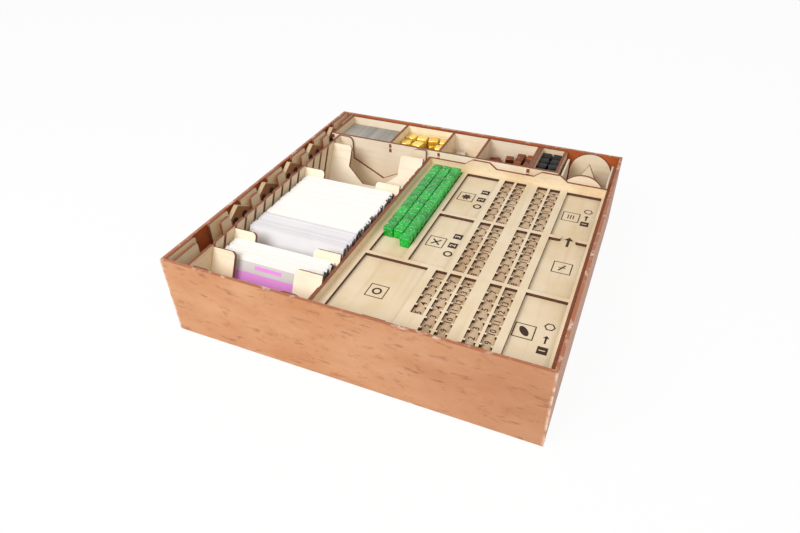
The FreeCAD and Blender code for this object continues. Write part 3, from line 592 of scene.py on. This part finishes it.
def add_tile(work, centre, thick, radius):
    """A tile with a printed face on both sides; centre is the middle of its back face."""
    first = tile_ring(work, centre, radius)
    last = tile_ring(work, centre + Vector((thick, 0, 0)), radius)
    back = work.faces.new(list(reversed(first)))
    front = work.faces.new(last)
    for corner in range(TILE_SIDES):
        after = (corner + 1) % TILE_SIDES
        side = work.faces.new((first[corner], first[after], last[after], last[corner]))
        side.material_index = CUT_INDEX
    for face in (front, back):
        face.material_index = PRINT_INDEX
        bmesh.ops.inset_region(work, faces=[face], thickness=TILE_MARGIN)
        line = bmesh.ops.inset_region(work, faces=[face], thickness=TILE_LINE)
        for strip in line["faces"]:
            strip.material_index = LINE_INDEX


def add_spot(work, place):
    """A dark disc on the front of a tile."""
    turned = Matrix.Translation(place) @ Matrix.Rotation(math.radians(90), 4, "Y")
    before = len(work.faces)
    shape = {"segments": SPOT_CORNERS, "radius": SPOT_RADIUS, "matrix": turned}
    bmesh.ops.create_circle(work, cap_ends=True, **shape)
    work.faces.ensure_lookup_table()
    for face in work.faces[before:]:
        face.material_index = SPOT_INDEX


def draw_tile_stack(number):
    """Two printed tiles in place of a plain stack."""
    name = "tile_stack_%d" % number
    low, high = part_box(name)
    middle = (low + high) / 2
    radius = (high.z - low.z) / 2
    work = bmesh.new()
    for layer in range(2):
        back_x = low.x + layer * TILE_THICK + TILE_GAP
        add_tile(work, Vector((back_x, middle.y, middle.z)), TILE_THICK - 2 * TILE_GAP, radius)
    bmesh.ops.recalc_face_normals(work, faces=work.faces)
    for side in (-1, 1):
        spot_y = middle.y + side * radius * SPOT_ASIDE
        add_spot(work, Vector((high.x - SPOT_SINK, spot_y, middle.z + radius * SPOT_UP)))
    stack = mesh_piece(name + "_printed", work, tile_print, tile_line, tile_edge, tile_spot)
    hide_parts(name)
    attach(stack, name)


for number in TILE_STACKS:
    draw_tile_stack(number)
print(len(TILE_STACKS), "stacks of tiles printed")

# %% [markdown]
# A laser also engraves: plain numbers in the track cells, and dark marks in the recesses. Engraving is
# only a burn a few hundredths of a millimetre deep, so each mark is a flat dark shape just above the base
# sheet. All marks of a board are joined into one mesh. This cell has the layout of the board and the
# tools that make a mark.

# %% Engraving tools
ROWS = range(3)
CELLS = 7
ROW_MARGIN = 5.55 * MM
ROW_GAP = 4.0 * MM
COLUMN_STEP = 11.5 * MM
CELL_WIDE = 9.2 * MM
TRACK_X = 77.2 * MM
SECOND_X = 108.4 * MM
SHORT_X = TRACK_X - COLUMN_STEP
SHORT_CELLS = 5
SHORT_LIFT = 2
TOOTH = 1.6 * MM
MARK_LIFT = 0.04 * MM
BOLD = 0.12 * MM
FONT_SIZE = 1.4
# Margin of the painted shade plates inside each track.
TRACK_SHADE_MARGIN = 0.4 * MM
UNBURNT_INDEX, TRACK_SHADE_INDEX = 1, 2
base_low, base_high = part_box("board_5_base")
mark_z = base_high.z + MARK_LIFT
row_length = (base_high.y - base_low.y - 2 * ROW_MARGIN - 2 * ROW_GAP) / len(ROWS)
cell_step = row_length / CELLS
columns = [TRACK_X, TRACK_X + COLUMN_STEP, SECOND_X, SECOND_X + COLUMN_STEP]
marks = bmesh.new()


def row_start(row):
    """Where a row of recesses starts, seen from the front."""
    return base_low.y + ROW_MARGIN + row * (row_length + ROW_GAP)


def engrave(*rings):
    """A flat engraved shape from its outline; further rings are left open inside it."""
    edges = []
    for ring in rings:
        made = [marks.verts.new((x, y, mark_z)) for x, y in ring]
        for index, vert in enumerate(made):
            edges.append(marks.edges.new((vert, made[(index + 1) % len(made)])))
    bmesh.ops.triangle_fill(marks, use_beauty=True, use_dissolve=False, edges=edges)


def number_mesh(text, height):
    """The flat mesh of a plain number."""
    curve = bpy.data.curves.new("number", "FONT")
    curve.body = text
    curve.size = height * FONT_SIZE
    curve.align_x = "CENTER"
    curve.align_y = "CENTER"
    curve.resolution_u = 2
    curve.offset = BOLD
    shape = bpy.data.objects.new("number", curve)
    bpy.context.scene.collection.objects.link(shape)
    bpy.context.view_layer.update()
    data = bpy.data.meshes.new_from_object(shape)
    bpy.data.objects.remove(shape)
    return data


def engrave_number(text, x, y, height, pale=False):
    """A number that is read from the right side of the board; a pale one is left unburnt."""
    data = number_mesh(text, height)
    place = (x, y, mark_z + MARK_LIFT * pale)
    data.transform(Matrix.Translation(place) @ Matrix.Rotation(math.radians(90), 4, "Z"))
    before = len(marks.faces)
    marks.from_mesh(data)
    marks.faces.ensure_lookup_table()
    for face in marks.faces[before:]:
        face.material_index = UNBURNT_INDEX if pale else 0
    bpy.data.meshes.remove(data)


def shade_track_floor(start_x, y, length):
    """A flat plate of painted shade on the floor of a track, where the narrow track lies in shadow."""
    left = base_low.x + start_x + TRACK_SHADE_MARGIN
    right = base_low.x + start_x + CELL_WIDE - TRACK_SHADE_MARGIN
    corners = [(left, y), (right, y), (right, y + length), (left, y + length)]
    shaded_floor = marks.faces.new([marks.verts.new((a, b, base_high.z + MARK_LIFT / 2)) for a, b in corners])
    shaded_floor.material_index = TRACK_SHADE_INDEX


print("a track cell is", round(cell_step / MM, 2), "mm long")

# %% [markdown]
# The numbers count up along the tracks from the front, with the second track of a pair going on where the
# first one stops. The short track in the front row counts the other way. The floors of the tracks get a
# flat plate of painted shade under the numbers, where the narrow tracks lie in shadow.

# %% Numbers in the tracks
NUMBER_HEIGHT = 4.8 * MM
NUMBER_PLACE = 0.42
short_start = row_start(0) + SHORT_LIFT * cell_step


def number_cell(text, start_x, start_y, cell):
    """The number of one cell of a track."""
    y = start_y + (cell + NUMBER_PLACE) * cell_step
    engrave_number(text, base_low.x + start_x + CELL_WIDE / 2, y, NUMBER_HEIGHT)


shade_track_floor(SHORT_X, short_start, SHORT_CELLS * cell_step)
for row in ROWS:
    for start_x in columns:
        shade_track_floor(start_x, row_start(row), row_length)
for row in ROWS:
    for column, start_x in enumerate(columns):
        for cell in range(CELLS):
            number_cell(str(cell + 1 + CELLS * (column % 2)), start_x, row_start(row), cell)
for cell in range(SHORT_CELLS):
    number_cell(str(SHORT_CELLS - cell), SHORT_X, short_start, cell)
print("engraved", len(marks.faces), "faces of numbers and haze")

# %% [markdown]
# The short track of the front row ends level with the tracks beside it, two cells further back than in
# the solids, and the last cell of a track is as wide at its end as the others. A cut-out is a loop of
# corners in the sheet, so a copy of the sheet gets these corners moved. The flat faces round them would
# fold over, so they are deleted and filled anew between the outlines.

# %% Place of the short track
NEAR = 0.1 * MM
SPARE = 0.2 * MM
FLAT_TURN = 0.9


def move_short_track(work):
    """Slide the corners of the short track back, and count them."""
    left = base_low.x + SHORT_X
    front = row_start(0)
    moved = 0
    for vert in work.verts:
        across = left - SPARE < vert.co.x < left + CELL_WIDE + SPARE
        along = front - SPARE < vert.co.y < front + SHORT_CELLS * cell_step + SPARE
        if across and along:
            vert.co.y += SHORT_LIFT * cell_step
            moved += 1
    return moved


def square_track_ends(work):
    """Widen the narrow back end of every track to the width of its cells."""
    for row in ROWS:
        row_end = row_start(row) + row_length
        ends = [vert for vert in work.verts if row_end - TOOTH - NEAR < vert.co.y < row_end + NEAR]
        for start_x in [SHORT_X] + columns:
            left = base_low.x + start_x
            for vert in ends:
                if abs(vert.co.x - left - TOOTH) < NEAR:
                    vert.co.x = left
                elif abs(vert.co.x - left - CELL_WIDE + TOOTH) < NEAR:
                    vert.co.x = left + CELL_WIDE
    bmesh.ops.dissolve_degenerate(work, dist=NEAR, edges=work.edges)
    bmesh.ops.remove_doubles(work, verts=work.verts, dist=NEAR)


def fill_between_outlines(work, level, up):
    """Fill one side of a sheet between its open edges; up is the way that the side looks."""
    open_edges = [edge for edge in work.edges if len(edge.link_faces) == 1]
    rim = [edge for edge in open_edges if all(abs(vert.co.z - level) < SPARE for vert in edge.verts)]
    bmesh.ops.triangle_fill(work, edges=rim, use_beauty=True, use_dissolve=False, normal=(0, 0, up))


def redraw_sheet(number):
    """A copy of a board's cut sheet with the tracks in their places."""
    node = "board_%d_sheet" % number
    low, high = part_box(node)
    work = bmesh.new()
    work.from_mesh(nodes[node].data)
    bmesh.ops.remove_doubles(work, verts=work.verts, dist=WELD)
    moved = move_short_track(work)
    flat = [face for face in work.faces if abs(face.normal.z) > FLAT_TURN]
    bmesh.ops.delete(work, geom=flat, context="FACES_ONLY")
    square_track_ends(work)
    fill_between_outlines(work, low.z, -1)
    fill_between_outlines(work, high.z, 1)
    bmesh.ops.recalc_face_normals(work, faces=work.faces)
    piece = mesh_piece(node + "_tracks", work, bpy.data.materials["plywood_z"])
    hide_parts(node)
    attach(piece, "board_%d" % number)
    print("board", number, "moved", moved, "corners")


for number in BOARDS:
    redraw_sheet(number)

# %% [markdown]
# The recesses carry small signs. Here they are plain shapes: a ring, a sun, an oval and bars in thin
# square frames, dark squares with a number in them, arrows and hexagons. Each sign is a function of its
# place and size, so that one that repeats is only called again.

# %% Shapes of the signs
SIGN = 5.5 * MM
COUNT_HALF = 5.2 * MM
COUNT_HEIGHT = 4.6 * MM
SUPPLY_HALF = 5.0 * MM
SUPPLY_HEIGHT = 4.2 * MM
HEXAGON_OUT = 4 * MM
HEXAGON_IN = 2.9 * MM
FRAME_OUT, FRAME_IN = 1.9, 1.69
RING_OUT, RING_IN = 0.7, 0.42
RING_CORNERS = 28
SUN_FAR, SUN_NEAR = 0.95, 0.55
SUN_CORNERS = 16
BAR_WIDE = 0.14
OVAL_WIDE, OVAL_TALL = 0.5, 0.95
OVAL_TURN = 35
OVAL_CORNERS = 24
ARROW = ((0, 1), (0.55, 0.3), (0.15, 0.3), (0.15, -1), (-0.15, -1), (-0.15, 0.3), (-0.55, 0.3))


def around(x, y, radius, corners, turn=0.0):
    """The corners of an even polygon; many corners make a circle."""
    angles = [math.radians(turn) + 2 * math.pi * corner / corners for corner in range(corners)]
    return [(x + radius * math.cos(angle), y + radius * math.sin(angle)) for angle in angles]


def sign_spot(x, y):
    """A place on the board, in millimetres from the corner of its base sheet."""
    return base_low.x + x * MM, base_low.y + y * MM


def frame_sign(x, y, size=SIGN):
    """A thin square frame."""
    engrave(around(x, y, size * FRAME_OUT, 4, 45), around(x, y, size * FRAME_IN, 4, 45))


def ring_sign(x, y, size=SIGN):
    """A round ring."""
    engrave(around(x, y, size * RING_OUT, RING_CORNERS), around(x, y, size * RING_IN, RING_CORNERS))


def sun_sign(x, y, size=SIGN):
    """A disc with points all round."""
    far = around(x, y, size * SUN_FAR, SUN_CORNERS)
    near = around(x, y, size * SUN_NEAR, SUN_CORNERS)
    engrave([far[corner] if corner % 2 else near[corner] for corner in range(SUN_CORNERS)])


def bar_sign(x, y, size, turn):
    """A straight bar, turned by some degrees."""
    turn = math.radians(turn)
    along = (size * math.cos(turn), size * math.sin(turn))
    aside = (-size * BAR_WIDE * math.sin(turn), size * BAR_WIDE * math.cos(turn))
    signs = ((1, 1), (-1, 1), (-1, -1), (1, -1))
    engrave([(x + a * along[0] + b * aside[0], y + a * along[1] + b * aside[1]) for a, b in signs])


def arrow_sign(x, y, size):
    """An arrow that points to the back."""
    engrave([(x + size * a, y + size * b) for a, b in ARROW])


def oval_sign(x, y, size=SIGN):
    """A slanting oval."""
    slant = Matrix.Rotation(math.radians(OVAL_TURN), 2)
    circle = around(0, 0, size, OVAL_CORNERS)
    oval = [slant @ Vector((OVAL_WIDE * a, OVAL_TALL * b)) for a, b in circle]
    engrave([(x + spot.x, y + spot.y) for spot in oval])


def number_sign(text, x, y, half, height):
    """A dark square with a pale number in it; half is half its diagonal."""
    engrave(around(x, y, half, 4, 45))
    engrave_number(text, x, y, height, True)


def supply_sign(x, ring_y, arrow_y, square_y):
    """A hexagon ring, an arrow that points to it and a dark square with a number."""
    ring = sign_spot(x, ring_y)
    engrave(around(*ring, HEXAGON_OUT, 6), around(*ring, HEXAGON_IN, 6))
    arrow_sign(*sign_spot(x, arrow_y), SIGN * 0.75)
    number_sign("1", *sign_spot(x, square_y), SUPPLY_HALF, SUPPLY_HEIGHT)


print("signs are about", round(2 * SIGN / MM), "mm across")

# %% [markdown]
# The signs are now set at their places, which are counted in millimetres from the front left corner of
# the board. The five boards are alike, so each gets a copy of the finished marks, lowered to its own
# base sheet, and the copy rides on that board.

# %% Signs in the recesses
RING_SPOT = sign_spot(33.1, 41.2)
SUN_SPOT = sign_spot(51.4, 194.8)
CROSS_SPOT = sign_spot(51.1, 117.3)
STRIPE_SPOT = sign_spot(145.6, 196.3)
PASS_SPOT = sign_spot(150.9, 157.2)
STROKE_SPOT = sign_spot(153.1, 120.8)
OVAL_SPOT = sign_spot(143.4, 40.7)
STRIPE_STEP = 2.2 * MM
COUNT_X = 65.6
COUNT_MIDDLES = (194.6, 117.2)
COUNT_STEP = 13.4
COUNT_RING = -12.4
engraving = plain_paper("engraving", tint("#2A180D"), tint("#452A17"), 0.8)
unburnt = plain_paper("unburnt", FACE_PALE, FACE_DEEP, 0.7)
# Painted shade for the floors of the tracks.
painted_track_shade = plain_paper("painted_track_shade", tint("#DFC19C"), tint("#C6A37D"), 0.75)

for spot in (RING_SPOT, SUN_SPOT, CROSS_SPOT, STRIPE_SPOT, STROKE_SPOT, OVAL_SPOT):
    frame_sign(*spot)
ring_sign(*RING_SPOT)
sun_sign(*SUN_SPOT)
oval_sign(*OVAL_SPOT)
for turn in (45, -45):
    bar_sign(*CROSS_SPOT, SIGN * 0.9, turn)
for step in (-1, 0, 1):
    bar_sign(STRIPE_SPOT[0] + step * STRIPE_STEP, STRIPE_SPOT[1], SIGN * 0.6, 90)
bar_sign(*STROKE_SPOT, SIGN * 0.8, 60)
bar_sign(*STROKE_SPOT, SIGN * 0.5, 0)
for middle in COUNT_MIDDLES:
    number_sign("3", *sign_spot(COUNT_X, middle + COUNT_STEP), COUNT_HALF, COUNT_HEIGHT)
    number_sign("2", *sign_spot(COUNT_X, middle), COUNT_HALF, COUNT_HEIGHT)
    ring_sign(*sign_spot(COUNT_X, middle + COUNT_RING))
supply_sign(x=158.3, ring_y=209.7, arrow_y=198.9, square_y=188.9)
supply_sign(x=158.9, ring_y=51.1, arrow_y=37.8, square_y=26.8)
arrow_sign(*PASS_SPOT, SIGN * 1.3)
for face in marks.faces:
    if face.normal.z < 0:
        face.normal_flip()
for number in reversed(BOARDS):
    copy = marks.copy()
    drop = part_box("board_%d_base" % number)[0] - base_low
    bmesh.ops.translate(copy, verts=copy.verts, vec=drop)
    piece = mesh_piece("board_%d_engraving" % number, copy, engraving, unburnt, painted_track_shade)
    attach(piece, "board_%d" % number)
print("each engraving has", len(marks.faces), "faces")
marks.free()

# %% [markdown]
# The stage is a pale floor under soft light. Two large lamps light the object at a plain level, the
# stronger one from the front left. The floor and the world show white to the camera, and the floor keeps
# a soft shadow so that the box stands on it.

# %% Floor, light and world
FLOOR_REACH = 6.0
FLOOR_DROP = 0.2 * MM
FLOOR_GLOW = 0.94
SKY_LIGHT = 0.38
LAMP_AIM = Vector((0, 0, 0.04))
WHITE = (1, 1, 1, 1)
PALE = (0.9, 0.9, 0.9, 1)


def seen_white(tree):
    """1 for what the camera sees straight, in a shine or through clear plastic, and 0 for soft light."""
    rays = add_node(tree, "ShaderNodeLightPath", {}, {}).outputs
    seen = sums(tree, "MAXIMUM", rays["Is Camera Ray"], rays["Is Glossy Ray"])
    return sums(tree, "MAXIMUM", seen, rays["Is Transmission Ray"])


def floor_finish():
    """Pale and matte, with a glow of its own where it is seen."""
    material = bpy.data.materials.new("floor")
    material.use_nodes = True
    tree = material.node_tree
    tree.nodes.clear()
    matte = add_node(tree, "ShaderNodeBsdfDiffuse", {}, {"Color": PALE})
    glow = add_node(tree, "ShaderNodeEmission", {}, {"Color": WHITE, "Strength": 1.0})
    share = sums(tree, "MULTIPLY", seen_white(tree), FLOOR_GLOW)
    blend = add_node(tree, "ShaderNodeMixShader", {}, {0: share, 1: matte.outputs[0], 2: glow.outputs[0]})
    add_node(tree, "ShaderNodeOutputMaterial", {}, {"Surface": blend.outputs[0]})
    return material


def stage_floor():
    """A large flat floor, a hair below the box."""
    data = bpy.data.meshes.new("floor")
    corners = [(a * FLOOR_REACH, b * FLOOR_REACH, 0) for a, b in ((-1, -1), (1, -1), (1, 1), (-1, 1))]
    data.from_pydata(corners, [], [(0, 1, 2, 3)])
    data.materials.append(floor_finish())
    floor = bpy.data.objects.new("floor", data)
    bpy.context.scene.collection.objects.link(floor)
    floor.location.z = -FLOOR_DROP


def white_world():
    """A sky that shows white and gives a softer light."""
    world = bpy.data.worlds.new("world")
    bpy.context.scene.world = world
    world.use_nodes = True
    tree = world.node_tree
    tree.nodes.clear()
    strength = ramp(tree, seen_white(tree), SKY_LIGHT, 1.0)
    sky = add_node(tree, "ShaderNodeBackground", {}, {"Color": WHITE, "Strength": strength})
    add_node(tree, "ShaderNodeOutputWorld", {}, {"Surface": sky.outputs[0]})


def lamp(name, place, size, power):
    """A large square lamp that looks at the middle of the box."""
    data = bpy.data.lights.new(name, "AREA")
    data.size = size
    data.energy = power
    lamp_object = bpy.data.objects.new(name, data)
    bpy.context.scene.collection.objects.link(lamp_object)
    lamp_object.location = place
    aim = LAMP_AIM - Vector(place)
    lamp_object.rotation_euler = aim.to_track_quat("-Z", "Y").to_euler()


stage_floor()
white_world()
lamp("key_lamp", place=(-0.5, -1.05, 1.0), size=0.9, power=18.0)
lamp("fill_lamp", place=(0.9, -0.5, 0.95), size=1.2, power=4.0)
print("stage lit")

# %% [markdown]
# The camera stands where the photograph was taken. Its place, aim and lens were worked out from the box's
# own corners, so the frame needs no shift.

# %% Camera
AZIMUTH = math.radians(23.93)
ELEVATION = math.radians(37.24)
ROLL = math.radians(-0.96)
CAMERA_PLACE = (0.16332, -0.40891, 0.33637)
LENS = 27.107
SENSOR = 36.0
NEAREST = 10 * MM
camera_data = bpy.data.cameras.new("camera")
camera_data.sensor_width = SENSOR
camera_data.lens = LENS
camera_data.clip_start = NEAREST
camera = bpy.data.objects.new("camera", camera_data)
bpy.context.scene.collection.objects.link(camera)
level = Vector((math.sin(AZIMUTH), -math.cos(AZIMUTH), 0))
back = level * math.cos(ELEVATION) + Vector((0, 0, math.sin(ELEVATION)))
right = Vector((0, 0, 1)).cross(back).normalized()
up = back.cross(right)
rolled_right = right * math.cos(ROLL) + up * math.sin(ROLL)
rolled_up = up * math.cos(ROLL) - right * math.sin(ROLL)
turn = Matrix((rolled_right, rolled_up, back)).transposed()
camera.matrix_world = Matrix.Translation(CAMERA_PLACE) @ turn.to_4x4()
bpy.context.scene.camera = camera
bpy.context.scene.view_settings.view_transform = "Standard"
print("camera at", CAMERA_PLACE)
